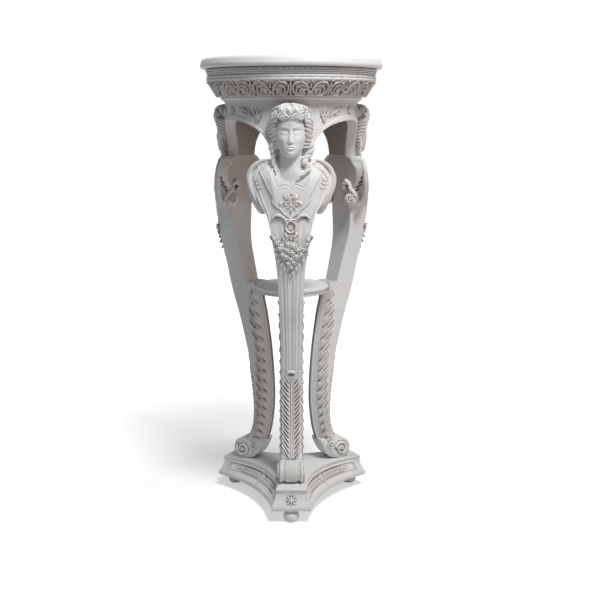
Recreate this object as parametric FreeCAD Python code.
import FreeCAD, Part
import math
import os

# Neoclassical pedestal stand: three herm legs under a round moulded top, on a three-cornered plinth.
# All sizes are in millimetres. +Z is up, the origin is on the floor under the column axis, and the
# front leg stands towards -Y. Everything that belongs to a leg is made at the front leg and turned.

os.makedirs("parts", exist_ok=True)

# ---- driving dimensions ------------------------------------------------------------------------

HEIGHT = 1150.0
LEG_AZIMUTHS = {"front": -90.0, "right": 30.0, "left": 150.0}
BAY_AZIMUTHS = {"right": -30.0, "back": 90.0, "left": 210.0}

# round slab and the board under it
SLAB_RADIUS = 228.0
SLAB_THICKNESS = 25.0
SLAB_BOTTOM = HEIGHT - SLAB_THICKNESS
PAD_HEIGHT = 1.5
PAD_HALF = 7.0
PAD_CIRCLE = 150.0
BOARD_RADIUS = 196.0
BOARD_THICKNESS = 18.0
BOARD_TOP = SLAB_BOTTOM - PAD_HEIGHT
BOARD_BOTTOM = BOARD_TOP - BOARD_THICKNESS

# cornice, frieze and neck rings
CORNICE_BOTTOM = 1093.5
CORNICE_BORE = 180.0
FRIEZE_BOTTOM = 1056.0
FRIEZE_SHOULDER = 1088.0
FRIEZE_TOP_RADIUS = 203.5
FRIEZE_BOTTOM_RADIUS = 182.0
FRIEZE_BORE = 160.0
FRIEZE_LOBES = 26
RELIEF = 2.6

# arcade: the round wall with one arch in each bay
WALL_RADIUS = 166.0
WALL_THICKNESS = 24.0
WALL_BORE = WALL_RADIUS - WALL_THICKNESS
WALL_TOP = 1038.0
WALL_BOTTOM = 908.0
ARCH_SPRINGING = 900.0
ARCH_RISE = 100.0
ARCH_HALF_ANGLE = 44.2
ARCHIVOLT_WIDTH = 13.0
ARCHIVOLT_RELIEF = 2.0
ROSETTE_RADIUS = 10.5
ROSETTE_HEIGHT = 1024.0

# shelf between the legs
SHELF_RADIUS = 95.8
SHELF_TOP = 578.0
SHELF_THICKNESS = 19.0
SHELF_BOTTOM = SHELF_TOP - SHELF_THICKNESS

# three-cornered plinth
PLINTH_TOP = 86.6
PLINTH_CAP_BOTTOM = 78.0
PLINTH_STEP = 45.0
PLINTH_BOTTOM = 32.4
PLINTH_TOP_REACH = 194.0
PLINTH_TOP_FACE = 79.0
PLINTH_TOP_WAIST = 80.0
PLINTH_BOTTOM_REACH = 205.0
PLINTH_BOTTOM_FACE = 100.0
PLINTH_BOTTOM_WAIST = 113.5
BLOCK_LEVELS = (
    (204, 98, 112, PLINTH_STEP), (197, 85, 91, 58), (192.5, 77, 79, PLINTH_CAP_BOTTOM),
)
PANEL_DEPTH = 2.5

# bun feet
FOOT_CIRCLE = 183.0
FOOT_RADIUS = 19.5
FOOT_NECK_RADIUS = 12.0

# scroll at the foot of each leg
SCROLL_REACH = 138.0
SCROLL_RADIUS = 28.4
SCROLL_HEIGHT = PLINTH_TOP + SCROLL_RADIUS
SCROLL_HALF = 30.0
ANKLE = 143.0

SCROLL_WAIST_HALF = 21.0

# joinery inside
TENON_HALF = 8.0
TENON_REACH = 131.0
TENON_BOTTOM = 50.0
TENON_TOP = 122.0
DOWEL_RADIUS = 5.0
DOWEL_BOTTOM = 12.0
DOWEL_TOP = 68.0
BLOCK_SIDE = 22.0

# Round pieces are turned in flats, and arcs in plan or elevation in chords.
RING_FLATS = 44
SHELF_FLATS = 36
FOOT_FLATS = 12
ARCADE_STEP = 10.0
ARCH_CHORDS = 10
HOLLOW_CHORDS = 8

# Leg sections: height, front radius, edge radius, half width at the edge, back radius, half width
# at the back. The chest and its shoulders are at the top, the waist is near the foot.
TORSO = (
    (908, 171, 158, 74, 142, 40),
    (893, 183, 156, 91, 143, 62),
    (880, 191, 155, 100, 144, 78),
    (865, 197, 160, 104, 145, 82),
    (848, 200, 167, 99, 146, 78),
    (822, 202, 179, 84, 146, 56),
    (803, 202, 187, 75, 146, 47),
    (780, 202, 194, 60, 147, 42),
    (755, 201, 196, 52, 150, 45),
    (715, 200, 196, 45.5, 150, 42),
    (670, 194, 189, 38, 143, 35.5),
    (625, 185, 180, 33.5, 132, 32),
    (578, 175, 171, 31, 121, 30),
)
SHAFT = (
    (578, 175, 171, 31, 96, 30),
    (540, 166, 162, 28.5, 99, 28),
    (500, 153.5, 149.5, 27.5, 102, 27),
    (460, 143, 139, 26, 97.5, 26),
    (420, 133, 129, 25.5, 89, 25.5),
    (370, 121, 117, 25.5, 84, 25.5),
    (320, 111, 108, 25.5, 82, 25.5),
    (270, 105, 102, 25.5, 82, 25.5),
    (225, 103, 100, 25.5, 85, 25.5),
    (185, 107, 104, 25.5, 90.5, 25.5),
    (143, 123, 120, 26, 99, 26),
)
CHEST_PANEL = 0.45

# Inner leaf bracket: height and the radius of its midrib edge.
MIDRIB = (
    (559, 91), (530, 84), (495, 76), (455, 69.5), (410, 63), (360, 58), (310, 54.7),
    (260, 54), (215, 58), (175, 65), (143, 75),
)
BRACKET_LOBES = 13

# leaf on the shin
SHIN_LEAF_BOTTOM = 145.0
SHIN_LEAF_TOP = 372.0
SHIN_LEAF_HALF = 27.5
SHIN_LEAF_LOBES = 8

# head: height, half width, front radius of the face; then the same for the hair
FACE = (
    (916, 12, 216), (923, 25, 220), (940, 33, 222), (972, 38, 219), (1004, 37, 222),
)
HAIR = (
    (936, 43, 196), (960, 50, 201), (1004, 51.5, 213), (1028, 38, 209), (1040, 16, 190),
)
CROWN = (
    (1000, 37, 223), (1012, 41, 227), (1033, 25, 213),
)
NECK = (
    (872, 33, 205), (892, 27, 202), (930, 26, 200),
)
HEAD_CENTRE = 178.0
HEAD_BACK = 158.0


# ---- helpers -----------------------------------------------------------------------------------

def point(t, r, z):
    """A point at the front leg: t sideways, r out from the axis, z up."""
    return FreeCAD.Vector(t, -r, z)


def on_circle(radius, azimuth, z=0.0):
    angle = math.radians(azimuth)
    return FreeCAD.Vector(radius * math.cos(angle), radius * math.sin(angle), z)


def closed_wire(points):
    return Part.makePolygon(list(points) + [points[0]])


def turned(shape, azimuth):
    """The shape made at the front leg, turned to another azimuth."""
    copy = shape.copy()
    copy.rotate(FreeCAD.Vector(0, 0, 0), FreeCAD.Vector(0, 0, 1), azimuth - LEG_AZIMUTHS["front"])
    return copy


def mirrored(shape):
    """The other side of a leg's piece: the front leg is symmetric about its middle plane."""
    return shape.mirror(FreeCAD.Vector(0, 0, 0), FreeCAD.Vector(1, 0, 0))


def single(shape):
    """The largest solid inside a shape, without seams between coplanar faces."""
    return max(shape.removeSplitter().Solids, key=lambda solid: solid.Volume)


def fused(shapes):
    return shapes[0].multiFuse(shapes[1:]) if len(shapes) > 1 else shapes[0]


def save(name, shape):
    shape.exportStep("parts/" + name + ".step")
    print(name, len(shape.Solids), "solid", round(shape.Volume / 1000.0, 1), "cm3")


def panel(*quad):
    """One flat face over four corners, or two triangles where they don't lie in a plane.

    Corners that fall together, as on the axis, are dropped first.
    """
    corners = [corner for index, corner in enumerate(quad) if not corner.isEqual(quad[index - 1], 1e-6)]
    if len(corners) < 3:
        return []
    a, b, c = corners[:3]
    normal = (b - a).cross(c - a)
    if len(corners) == 3 or abs(normal.dot(corners[3] - a)) < 1e-6 * normal.Length:
        return [Part.Face(closed_wire(corners))]
    return [Part.Face(closed_wire([a, b, c])), Part.Face(closed_wire([a, c, corners[3]]))]


def skin(rings, looped=False):
    """Solid with flat faces through rings that have the same number of corners.

    With `looped` the last ring joins the first one; otherwise both ends are closed with a face.
    """
    faces = []
    following = rings[1:] + rings[:1] if looped else rings[1:]
    for ring, after in zip(rings, following):
        for index in range(len(ring)):
            onward = (index + 1) % len(ring)
            faces.extend(panel(ring[index], ring[onward], after[onward], after[index]))
    if not looped:
        faces.append(Part.Face(closed_wire(rings[0])))
        faces.append(Part.Face(closed_wire(rings[-1])))
    shell = Part.makeShell(faces)
    shell.sewShape()
    solid = Part.makeSolid(shell)
    if solid.Volume < 0:
        solid.reverse()
    return solid


def round_corner(start, middle, end, steps):
    """Corners of an arc through three (radius, height) points, without its start."""
    arc = Part.Arc(*[FreeCAD.Vector(r, 0, z) for r, z in (start, middle, end)])
    low, high = arc.FirstParameter, arc.LastParameter
    places = [arc.value(low + (high - low) * step / steps) for step in range(1, steps + 1)]
    return [(place.x, place.z) for place in places]


def lathe(outline, flats):
    """Turn a closed (radius, height) outline about +Z, in a number of flats.

    An outline entry of two points is the middle and the end of an arc, which gets two chords.
    """
    corners = []
    for entry in outline:
        if isinstance(entry[0], tuple):
            corners.extend(round_corner(corners[-1], entry[0], entry[1], 2))
        else:
            corners.append(entry)
    spokes = []
    for index in range(flats):
        azimuth = 360.0 * index / flats
        spokes.append([on_circle(radius, azimuth, z) for radius, z in corners])
    return skin(spokes, looped=True)


def drum(radius, bottom, top, flats, top_radius=None):
    """Solid many-sided drum or cone about the axis."""
    upper = radius if top_radius is None else top_radius
    rings = []
    for size, z in ((radius, bottom), (upper, top)):
        rings.append([on_circle(size, 360.0 * index / flats, z) for index in range(flats)])
    return skin(rings)


def along(rows, z, column):
    """Value of a column at height z, in rows that run from the top down."""
    for above, below in zip(rows, rows[1:]):
        if below[0] <= z <= above[0]:
            share = (z - below[0]) / (above[0] - below[0])
            return below[column] + share * (above[column] - below[column])
    return rows[0][column] if z > rows[0][0] else rows[-1][column]


def tapered_tube(path, sides=6):
    """A horn along a path of (t, r, z, radius) stations with a polygonal section."""
    centres = [point(*station[:3]) for station in path]
    rings = []
    for index, centre in enumerate(centres):
        before = centres[max(index - 1, 0)]
        after = centres[min(index + 1, len(centres) - 1)]
        forward = (after - before).normalize()
        side = forward.cross(FreeCAD.Vector(0.2, 1.0, 0.1)).normalize()
        other = forward.cross(side)
        radius = path[index][3]
        angles = [2 * math.pi * corner / sides for corner in range(sides)]
        rings.append([centre + side * radius * math.cos(a) + other * radius * math.sin(a) for a in angles])
    return skin(rings)


def many_sided(centre, axis, radius, length, sides, end_radius=None):
    """Prism or cone with a regular outline, from a centre along an axis."""
    axis = FreeCAD.Vector(axis).normalize()
    side = axis.cross(FreeCAD.Vector(0.1, 0.2, 1.0)).normalize()
    other = axis.cross(side)
    rings = []
    for size, shift in ((radius, 0.0), (radius if end_radius is None else end_radius, length)):
        angles = [2 * math.pi * corner / sides for corner in range(sides)]
        rings.append([centre + axis * shift + side * size * math.cos(a) + other * size * math.sin(a)
                      for a in angles])
    return skin(rings)


def radial_prism(outline, inner, outer):
    """A (t, z) outline at the front leg, extruded outwards from one radius to another."""
    face = Part.Face(closed_wire([point(t, inner, z) for t, z in outline]))
    return face.extrude(FreeCAD.Vector(0, inner - outer, 0))


def side_prism(outline, half):
    """An (r, z) outline extruded across the leg, from -half to +half."""
    face = Part.Face(closed_wire([point(-half, r, z) for r, z in outline]))
    return face.extrude(FreeCAD.Vector(2 * half, 0, 0))


def box(half, inner, outer, bottom, top):
    """Block at the front leg: half width, radii of its two faces, heights."""
    return Part.makeBox(2 * half, outer - inner, top - bottom, point(-half, outer, bottom))


# ---- top ---------------------------------------------------------------------------------------

def make_slab():
    edge = 12.0
    return lathe([(SLAB_RADIUS - 1.5, SLAB_BOTTOM), (SLAB_RADIUS, HEIGHT - edge),
                  ((SLAB_RADIUS - 3.5, HEIGHT - 3.5), (SLAB_RADIUS - edge, HEIGHT)),
                  (0, HEIGHT), (0, SLAB_BOTTOM)], RING_FLATS)


def make_pads():
    """Square pads that bed the slab."""
    pad = box(PAD_HALF, PAD_CIRCLE - PAD_HALF, PAD_CIRCLE + PAD_HALF, BOARD_TOP, SLAB_BOTTOM)
    return Part.makeCompound([turned(pad, azimuth) for azimuth in range(-90, 270, 60)])


def make_glue_blocks():
    """Blocks in the corner between the board's underside and the cornice's bore."""
    reach = CORNICE_BORE * math.cos(math.pi / RING_FLATS)
    near = math.sqrt(reach ** 2 - BLOCK_SIDE ** 2)
    block = box(BLOCK_SIDE, near - BLOCK_SIDE, near, CORNICE_BOTTOM, BOARD_BOTTOM)
    return Part.makeCompound([turned(block, azimuth) for azimuth in BAY_AZIMUTHS.values()])


def make_board():
    return drum(BOARD_RADIUS, BOARD_BOTTOM, BOARD_TOP, RING_FLATS)


def make_cornice():
    """Moulded ring under the slab, rebated for the board: bead, fillet, groove, ovolo and lip."""
    bead_seat = BOARD_TOP - 7.5
    return lathe([(CORNICE_BORE, CORNICE_BOTTOM), (211.5, CORNICE_BOTTOM), (212.5, 1099.0), (213.5, 1103.2),
                  (208.5, 1107.4), (211.5, bead_seat), (216.5, bead_seat + 3.75), (211.5, BOARD_TOP),
                  (BOARD_RADIUS, BOARD_TOP), (BOARD_RADIUS, BOARD_BOTTOM), (CORNICE_BORE, BOARD_BOTTOM)],
                 RING_FLATS)


def make_frieze():
    return lathe([(FRIEZE_BORE, FRIEZE_BOTTOM), (FRIEZE_BOTTOM_RADIUS, FRIEZE_BOTTOM),
                  (FRIEZE_TOP_RADIUS, FRIEZE_SHOULDER), (206.5, CORNICE_BOTTOM),
                  (CORNICE_BORE, CORNICE_BOTTOM)], 2 * FRIEZE_LOBES)


def make_frieze_lobes():
    """Tongue-shaped raised fields round the frieze, pointed at the foot."""
    half = 0.43 * 2 * math.pi / FRIEZE_LOBES * FRIEZE_BOTTOM_RADIUS
    foot = FRIEZE_BOTTOM + 3.5
    head = FRIEZE_SHOULDER - 1.0
    outline = [(-half, head), (-half, foot + 8), (0, foot), (half, foot + 8), (half, head)]
    flats = 2 * FRIEZE_LOBES
    layers = []
    for lift in (0.0, RELIEF):
        layers.append(drum(FRIEZE_BOTTOM_RADIUS + lift, FRIEZE_BOTTOM, FRIEZE_SHOULDER, flats,
                           FRIEZE_TOP_RADIUS + lift))
    step = 360.0 / FRIEZE_LOBES
    prism = turned(radial_prism(outline, 165, 215), 0.0)
    lobe = prism.common(layers[1]).cut(layers[0])
    front = LEG_AZIMUTHS["front"]
    return Part.makeCompound([turned(lobe, front + step * index) for index in range(FRIEZE_LOBES)])


def make_neck_ring():
    lip = 174.0
    return lathe([(150.0, WALL_TOP), (WALL_RADIUS, WALL_TOP), (lip, 1048.6), (lip + 4.5, 1052.3),
                  (lip, FRIEZE_BOTTOM), (150.0, FRIEZE_BOTTOM)], RING_FLATS)


# ---- arcade ------------------------------------------------------------------------------------

def arch_ring(reach, growth):
    """Upright half ellipse over a straight foot, on the plane that stands `reach` from the axis."""
    half = reach * math.tan(math.radians(ARCH_HALF_ANGLE)) + growth
    rise = ARCH_RISE + growth
    ring = [point(half, reach, WALL_BOTTOM - 20)]
    for step in range(ARCH_CHORDS + 1):
        angle = math.pi * step / ARCH_CHORDS
        ring.append(point(half * math.cos(angle), reach, ARCH_SPRINGING + rise * math.sin(angle)))
    ring.append(point(-half, reach, WALL_BOTTOM - 20))
    return ring


def arch_tool(growth):
    return skin([arch_ring(90, growth), arch_ring(240, growth)])


def wall_layer(inner, outer):
    """Third of the round wall between two radii, made at the front in flats."""
    angles = [ARCADE_STEP * index - 150 for index in range(round(120 / ARCADE_STEP) + 1)]
    plan = [on_circle(outer, angle, WALL_BOTTOM) for angle in angles]
    plan += [on_circle(inner, angle, WALL_BOTTOM) for angle in reversed(angles)]
    return Part.Face(closed_wire(plan)).extrude(FreeCAD.Vector(0, 0, WALL_TOP - WALL_BOTTOM))


def make_apron():
    """One third of the arcade, made at the front and turned into its bay: wall, arch, archivolt."""
    archivolt = wall_layer(WALL_BORE, WALL_RADIUS + ARCHIVOLT_RELIEF).common(arch_tool(ARCHIVOLT_WIDTH))
    return single(wall_layer(WALL_BORE, WALL_RADIUS).fuse(archivolt).cut(arch_tool(0.0)))


def on_wall(prism, relief):
    """Keep the part of a radial prism that lies on the arcade wall, raised by `relief`."""
    return prism.common(wall_layer(WALL_RADIUS, WALL_RADIUS + relief))


def make_arch_rosettes():
    """Round rosette over the crown of each arch."""
    outline = [(ROSETTE_RADIUS * math.sin(a), ROSETTE_HEIGHT + ROSETTE_RADIUS * math.cos(a))
               for a in (2 * math.pi * k / 12 for k in range(12))]
    rosette = on_wall(radial_prism(outline, 150, 180), 4.0)
    return Part.makeCompound([turned(rosette, azimuth) for azimuth in BAY_AZIMUTHS.values()])


def leaf_outline(base, tip, width):
    """Pointed leaf from base to tip in (t, z)."""
    (x0, z0), (x1, z1) = base, tip
    length = math.hypot(x1 - x0, z1 - z0)
    across = ((z0 - z1) / length * width / 2, (x1 - x0) / length * width / 2)
    corners = []
    for share, swell in ((0.0, 0.25), (0.4, 1.0), (1.0, 0.0), (0.4, -1.0), (0.0, -0.25)):
        corners.append((x0 + share * (x1 - x0) + swell * across[0], z0 + share * (z1 - z0) + swell * across[1]))
    return corners


def make_spandrel_leaves():
    """On each side of each head: one upright leaf, and one that leans along the arch."""
    upright = on_wall(radial_prism(leaf_outline((70, 997), (72, 1031), 20), 130, 185), RELIEF)
    leaning = on_wall(radial_prism(leaf_outline((80, 1018), (112, 1031), 10), 110, 185), RELIEF)
    leaves = []
    for azimuth in LEG_AZIMUTHS.values():
        for leaf in (upright, leaning):
            leaves.extend([turned(leaf, azimuth), turned(mirrored(leaf), azimuth)])
    return Part.makeCompound(leaves)


def make_pier_tenon():
    """Loose tenon that ties two aprons to the top of the leg."""
    middle = (WALL_BORE + WALL_RADIUS) / 2
    return box(18, middle - 4, middle + 4, WALL_BOTTOM - 22, WALL_BOTTOM + 22)


# ---- leg ---------------------------------------------------------------------------------------

def leg_ring(row):
    """Section of the leg: narrow back, wide front edges, and a raised panel between them."""
    z, front, edge, half, back, half_back = row
    inset = CHEST_PANEL * half
    return [point(-half_back, back, z), point(half_back, back, z), point(half, edge, z),
            point(inset, front, z), point(-inset, front, z), point(-half, edge, z)]


def make_leg():
    torso = skin([leg_ring(row) for row in TORSO])
    shaft = skin([leg_ring(row) for row in SHAFT])
    shelf_room = drum(SHELF_RADIUS, SHELF_BOTTOM, SHELF_TOP + 1, SHELF_FLATS)
    return single(torso.fuse(shaft).cut(shelf_room))


def head_ring(row):
    """Section of the head: a round front of five corners over a straight back."""
    z, half, front = row
    corners = []
    for step in range(-2, 3):
        angle = math.radians(42 * step)
        corners.append(point(half * math.sin(angle), HEAD_CENTRE + (front - HEAD_CENTRE) * math.cos(angle), z))
    corners.append(point(0.9 * half, HEAD_BACK, z))
    corners.append(point(-0.9 * half, HEAD_BACK, z))
    return corners


def make_bust(leg, ring, aprons):
    """Head, hair and neck of one herm, seated on the chest and against the arcade wall."""
    nose = skin([[point(-w, 214, z), point(w, 214, z), point(0, r, z)]
                 for z, w, r in ((953, 6, 222), (957, 6.5, 227), (985, 4, 222))])
    right_curl = tapered_tube([(44, 178, 944, 9), (40, 181, 918, 9), (37, 191, 893, 7), (16, 203, 870, 3)], 4)
    left_curl = tapered_tube([(-44, 178, 944, 7), (-41, 183, 908, 6), (-35, 197, 876, 3)], 4)
    masses = [skin([head_ring(row) for row in rows]) for rows in (FACE, HAIR, CROWN, NECK)]
    return single(fused(masses + [nose, right_curl, left_curl]).cut([leg, ring] + aprons))


def make_shoulder_scrolls(leg):
    """On each side: a scroll down the edge of the shoulder, ending in a volute with a leaf curl."""
    edge = tapered_tube([(60, 166, 905, 4), (88, 163, 893, 6), (101, 161, 868, 7), (94, 170, 835, 6),
                         (76, 175, 800, 5), (54, 158, 779, 5)], 4)
    volute = many_sided(point(44, 154, 797), point(0.75, -0.66, 0), 17, 14, 8)
    curl = tapered_tube([(62, 158, 806, 5), (56, 146, 825, 6), (36, 139, 838, 3)], 4)
    scroll = single(fused([edge, volute, curl]).cut(leg))
    return Part.makeCompound([scroll, mirrored(scroll)])


def make_garland(leg):
    """A swag of flowers hung across the chest, with a pointed drop of blossom."""
    def front(z):
        return along(TORSO, z, 1)

    swag = tapered_tube([(-47, front(728) - 4, 728, 6), (-27, front(706), 706, 8), (0, front(692), 692, 10),
                         (27, front(706), 706, 8), (47, front(728) - 4, 728, 6)], 4)
    drop = tapered_tube([(0, front(698), 698, 16), (0, front(670), 670, 14), (0, front(637), 637, 3)], 4)
    flowers = []
    for t, z in ((-36, 720), (-17, 703), (17, 703), (36, 720), (0, 674)):
        flowers.append(many_sided(point(t, front(z) - 2, z), point(0, 1, 0), 10, 11, 5, 5.0))
    return single(fused([swag, drop] + flowers).cut(leg))


def lobed_edge(bottom, top, half, lobes, notch):
    """Right-hand edge of a lobed leaf in (t, z), from the bottom up."""
    pitch = (top - bottom) / lobes
    edge = []
    for index in range(lobes):
        z = bottom + index * pitch
        edge.append((half - notch, z))
        edge.append((half, z + 0.7 * pitch))
    return edge


def make_shin_leaf(leg):
    """Lobed leaf laid on the shin, with a raised midrib and a tip that curls away at the top."""
    right = lobed_edge(SHIN_LEAF_BOTTOM, SHIN_LEAF_TOP - 22, SHIN_LEAF_HALF, SHIN_LEAF_LOBES, 6.0)
    outline = right + [(17, SHIN_LEAF_TOP - 8), (7, SHIN_LEAF_TOP)]
    outline += [(-t, z) for t, z in reversed(outline)]
    heights = (143, 185, 225, 270, 345)
    inner = [(along(SHAFT, z, 1) - 9, z) for z in heights] + [(112, 372)]
    outer = [(along(SHAFT, z, 1) + 3.5, z) for z in heights] + [(129, 368), (132, 374), (124, 376)]
    blade = radial_prism(outline, 80, 150).common(side_prism(inner + outer[::-1], 40))
    rib_front = [(r + 2.5, z) for r, z in outer[:len(heights)]]
    rib = side_prism(inner[:len(heights)] + rib_front[::-1], 3.5)
    return single(blade.fuse(rib).cut(leg))


def bracket_ring(z, swell):
    """Section of the bracket: cheeks that lap the leg's sides, running down to a narrow midrib.

    `swell` is 1 at the fullest part of a lobe and 0 in the notch between two lobes.
    """
    edge = along(MIDRIB, z, 1)
    margin = along(SHAFT, z, 4)
    seat = along(SHAFT, z, 5) + 0.3
    cheek = seat + 0.8 + 2.0 * swell
    lap = margin + 0.8 + 7.0 * swell
    return [point(-cheek, lap, z), point(-seat, lap, z), point(-seat, margin, z), point(seat, margin, z),
            point(seat, lap, z), point(cheek, lap, z), point(3.5, edge, z), point(-3.5, edge, z)]


def make_bracket():
    """Leaf bracket on the inner side of the leg, with a row of lobes down each cheek."""
    bottom, top = ANKLE, SHELF_BOTTOM
    pitch = (top - bottom) / BRACKET_LOBES
    rings = [bracket_ring(bottom, 0)]
    for index in range(BRACKET_LOBES):
        rings.append(bracket_ring(bottom + (index + 0.7) * pitch, 1))
        rings.append(bracket_ring(bottom + (index + 1) * pitch, 0))
    return skin(rings)


def make_foot_scroll(leg, bracket):
    """Scroll that carries the leg: a roll across the foot with volute eyes, and the sweep down to it."""
    across = FreeCAD.Vector(1, 0, 0)
    sides = 16

    def roll(radius, half, reach=SCROLL_REACH, height=SCROLL_HEIGHT, corners=sides):
        return many_sided(point(-half, reach, height), across, radius, 2 * half, corners)

    hollow = roll(SCROLL_RADIUS + 4, SCROLL_WAIST_HALF).cut(roll(SCROLL_RADIUS - 2.5, SCROLL_WAIST_HALF))
    heel = side_prism([(124, PLINTH_TOP), (111, 91), (99, 100), (88, 114), (80, 130), (76, ANKLE),
                       (123, ANKLE), (SCROLL_REACH, 130), (SCROLL_REACH, PLINTH_TOP)], 26)
    eyes = roll(9, SCROLL_HALF + 4, corners=8)
    rear_eyes = roll(7, SCROLL_HALF - 1, 106, 126, 6)
    below = box(60, 60, 200, PLINTH_TOP - 40, PLINTH_TOP)
    raw = fused([roll(SCROLL_RADIUS, SCROLL_HALF).cut(hollow), eyes, heel, rear_eyes])
    return single(raw.cut([leg, bracket, below]))


# ---- shelf, plinth and feet --------------------------------------------------------------------

def make_shelf():
    low = SHELF_BOTTOM
    return lathe([(0, low), (SHELF_RADIUS - 5, low), (SHELF_RADIUS - 5, low + 8), (SHELF_RADIUS, low + 10),
                  (SHELF_RADIUS, SHELF_TOP), (0, SHELF_TOP)], SHELF_FLATS)


def make_shelf_tenon():
    """Loose tenon from the shelf's rim into the leg."""
    middle = (SHELF_BOTTOM + SHELF_TOP) / 2 + 1
    return box(8, SHELF_RADIUS - 14, SHELF_RADIUS + 16, middle - 3, middle + 3)


def triform_ring(reach, face, waist, z):
    """Three straight corner faces joined by three hollow arcs, each in chords."""
    ring = []
    for azimuth in LEG_AZIMUTHS.values():
        turn = FreeCAD.Rotation(FreeCAD.Vector(0, 0, 1), azimuth - LEG_AZIMUTHS["front"])
        onward = FreeCAD.Rotation(FreeCAD.Vector(0, 0, 1), azimuth - LEG_AZIMUTHS["front"] + 120)
        start = turn.multVec(point(face / 2, reach, z))
        end = onward.multVec(point(-face / 2, reach, z))
        arc = Part.Arc(start, on_circle(waist, azimuth + 60, z), end)
        low, high = arc.FirstParameter, arc.LastParameter
        ring.extend(arc.value(low + (high - low) * step / HOLLOW_CHORDS) for step in range(HOLLOW_CHORDS + 1))
    return ring


def triform(levels):
    """Solid through (reach, corner face, waist, height) levels."""
    return skin([triform_ring(*level) for level in levels])


def make_plinth():
    """Foot board, flared block and top board of the plinth."""
    foot_level = (PLINTH_BOTTOM_REACH, PLINTH_BOTTOM_FACE, PLINTH_BOTTOM_WAIST)
    top_level = (PLINTH_TOP_REACH, PLINTH_TOP_FACE, PLINTH_TOP_WAIST)
    foot = triform([(PLINTH_BOTTOM_REACH - 4, PLINTH_BOTTOM_FACE - 8, PLINTH_BOTTOM_WAIST - 4, PLINTH_BOTTOM),
                    foot_level + (PLINTH_BOTTOM + 4,), foot_level + (PLINTH_STEP,)])
    block = triform(BLOCK_LEVELS)
    top = triform([top_level + (PLINTH_CAP_BOTTOM,), top_level + (PLINTH_TOP,)])
    return foot, block, top


def make_side_panels(block):
    """Relief fields laid into the three hollow sides of the plinth block."""
    core = triform([(reach, face, waist - PANEL_DEPTH, z) for reach, face, waist, z in BLOCK_LEVELS])
    field = radial_prism([(-96, 49), (96, 49), (86, 74), (-86, 74)], 60, 330)
    return {name: block.common(turned(field, azimuth)).cut(core) for name, azimuth in BAY_AZIMUTHS.items()}


def make_corner_rosette(block):
    """Eight-petalled flower at the middle of a corner face."""
    petals = 8
    outline = []
    for index in range(2 * petals):
        reach = 13.0 if index % 2 == 0 else 9.5
        angle = math.pi * index / petals
        outline.append((reach * math.sin(angle), 60 + reach * math.cos(angle)))
    return radial_prism(outline, 188, 201.5).cut(block)


def make_foot_tenon():
    """Loose tenon from the plinth up into the foot of the leg."""
    return box(TENON_HALF, TENON_REACH - 5, TENON_REACH + 5, TENON_BOTTOM, TENON_TOP)


def make_foot_dowel():
    """Dowel that ties a bun foot to the plinth."""
    return many_sided(point(0, FOOT_CIRCLE, DOWEL_BOTTOM), FreeCAD.Vector(0, 0, 1), DOWEL_RADIUS,
                      DOWEL_TOP - DOWEL_BOTTOM, 8)


def make_foot():
    """Bun foot at the floor under the axis; its centre is moved out to the corner afterwards."""
    return lathe([(0, 0), (8, 0), (15.5, 3), (FOOT_RADIUS, 9.5), (FOOT_RADIUS, 16), (FOOT_NECK_RADIUS, 26),
                  (FOOT_NECK_RADIUS, PLINTH_BOTTOM), (0, PLINTH_BOTTOM)], FOOT_FLATS)


# ---- assembly ----------------------------------------------------------------------------------

def on_each_leg(shape):
    return {name: turned(shape, azimuth) for name, azimuth in LEG_AZIMUTHS.items()}


def group(shapes):
    return Part.makeCompound(list(shapes))


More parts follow.
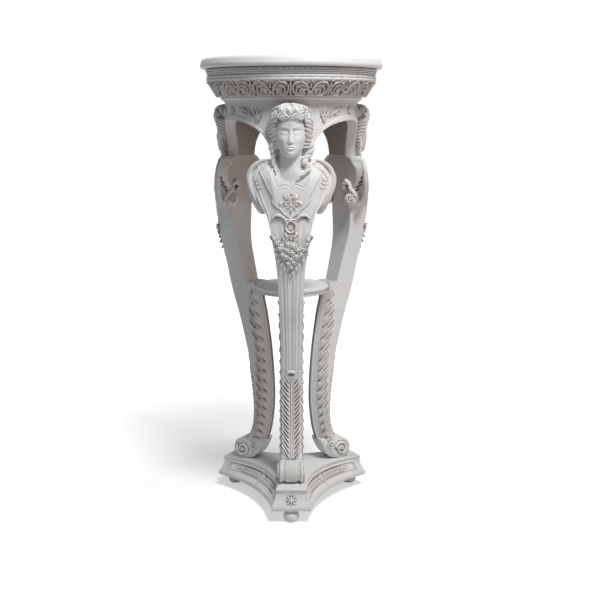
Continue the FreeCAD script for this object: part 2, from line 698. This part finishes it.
def main():
    neck_ring = make_neck_ring()
    bays = {name: turned(make_apron(), azimuth) for name, azimuth in BAY_AZIMUTHS.items()}
    pier_tenon = make_pier_tenon()
    shelf_tenon = make_shelf_tenon()
    foot_tenon = make_foot_tenon()
    foot_dowel = make_foot_dowel()
    pier_tenons = group(on_each_leg(pier_tenon).values())
    shelf_tenons = group(on_each_leg(shelf_tenon).values())
    foot_tenons = group(on_each_leg(foot_tenon).values())
    foot_dowels = group(on_each_leg(foot_dowel).values())

    raw_leg = make_leg()
    bracket = make_bracket()
    foot_scroll = make_foot_scroll(raw_leg, bracket)
    plinth_foot, plinth_block, plinth_top = make_plinth()
    side_panels = make_side_panels(plinth_block)
    foot = make_foot()
    foot.translate(point(0, FOOT_CIRCLE, 0))

    save("top_slab", make_slab())
    save("slab_pads", make_pads())
    save("top_board", make_board())
    save("glue_blocks", make_glue_blocks())
    save("cornice_ring", make_cornice())
    save("frieze_ring", make_frieze())
    save("frieze_lobes", make_frieze_lobes())
    save("neck_ring", neck_ring)
    save("arch_rosettes", make_arch_rosettes())
    save("spandrel_leaves", make_spandrel_leaves())
    save("pier_tenons", pier_tenons)
    for name, apron in bays.items():
        save("apron_" + name, apron.cut(pier_tenons))

    per_leg = {
        "leg": raw_leg.cut([pier_tenon, shelf_tenon]),
        "bust": make_bust(raw_leg, neck_ring, list(bays.values())),
        "shoulder_scrolls": make_shoulder_scrolls(raw_leg),
        "garland": make_garland(raw_leg),
        "shin_leaf": single(make_shin_leaf(raw_leg).cut(foot_scroll)),
        "bracket": bracket,
        "foot_scroll": foot_scroll.cut(foot_tenon),
        "bun_foot": foot.cut(foot_dowel),
    }
    for part_name, shape in per_leg.items():
        for leg_name, placed in on_each_leg(shape).items():
            save(part_name + "_" + leg_name, placed)

    save("shelf_tenons", shelf_tenons)
    save("shelf", make_shelf().cut(shelf_tenons))
    save("foot_tenons", foot_tenons)
    save("foot_dowels", foot_dowels)
    save("plinth_top_board", plinth_top.cut(foot_tenons))
    save("plinth_block", plinth_block.cut(list(side_panels.values()) + [foot_tenons, foot_dowels]))
    save("plinth_foot_board", plinth_foot.cut(foot_dowels))
    for name, field in side_panels.items():
        save("side_panel_" + name, field)
    save("corner_rosettes", group(on_each_leg(make_corner_rosette(plinth_block)).values()))


main()
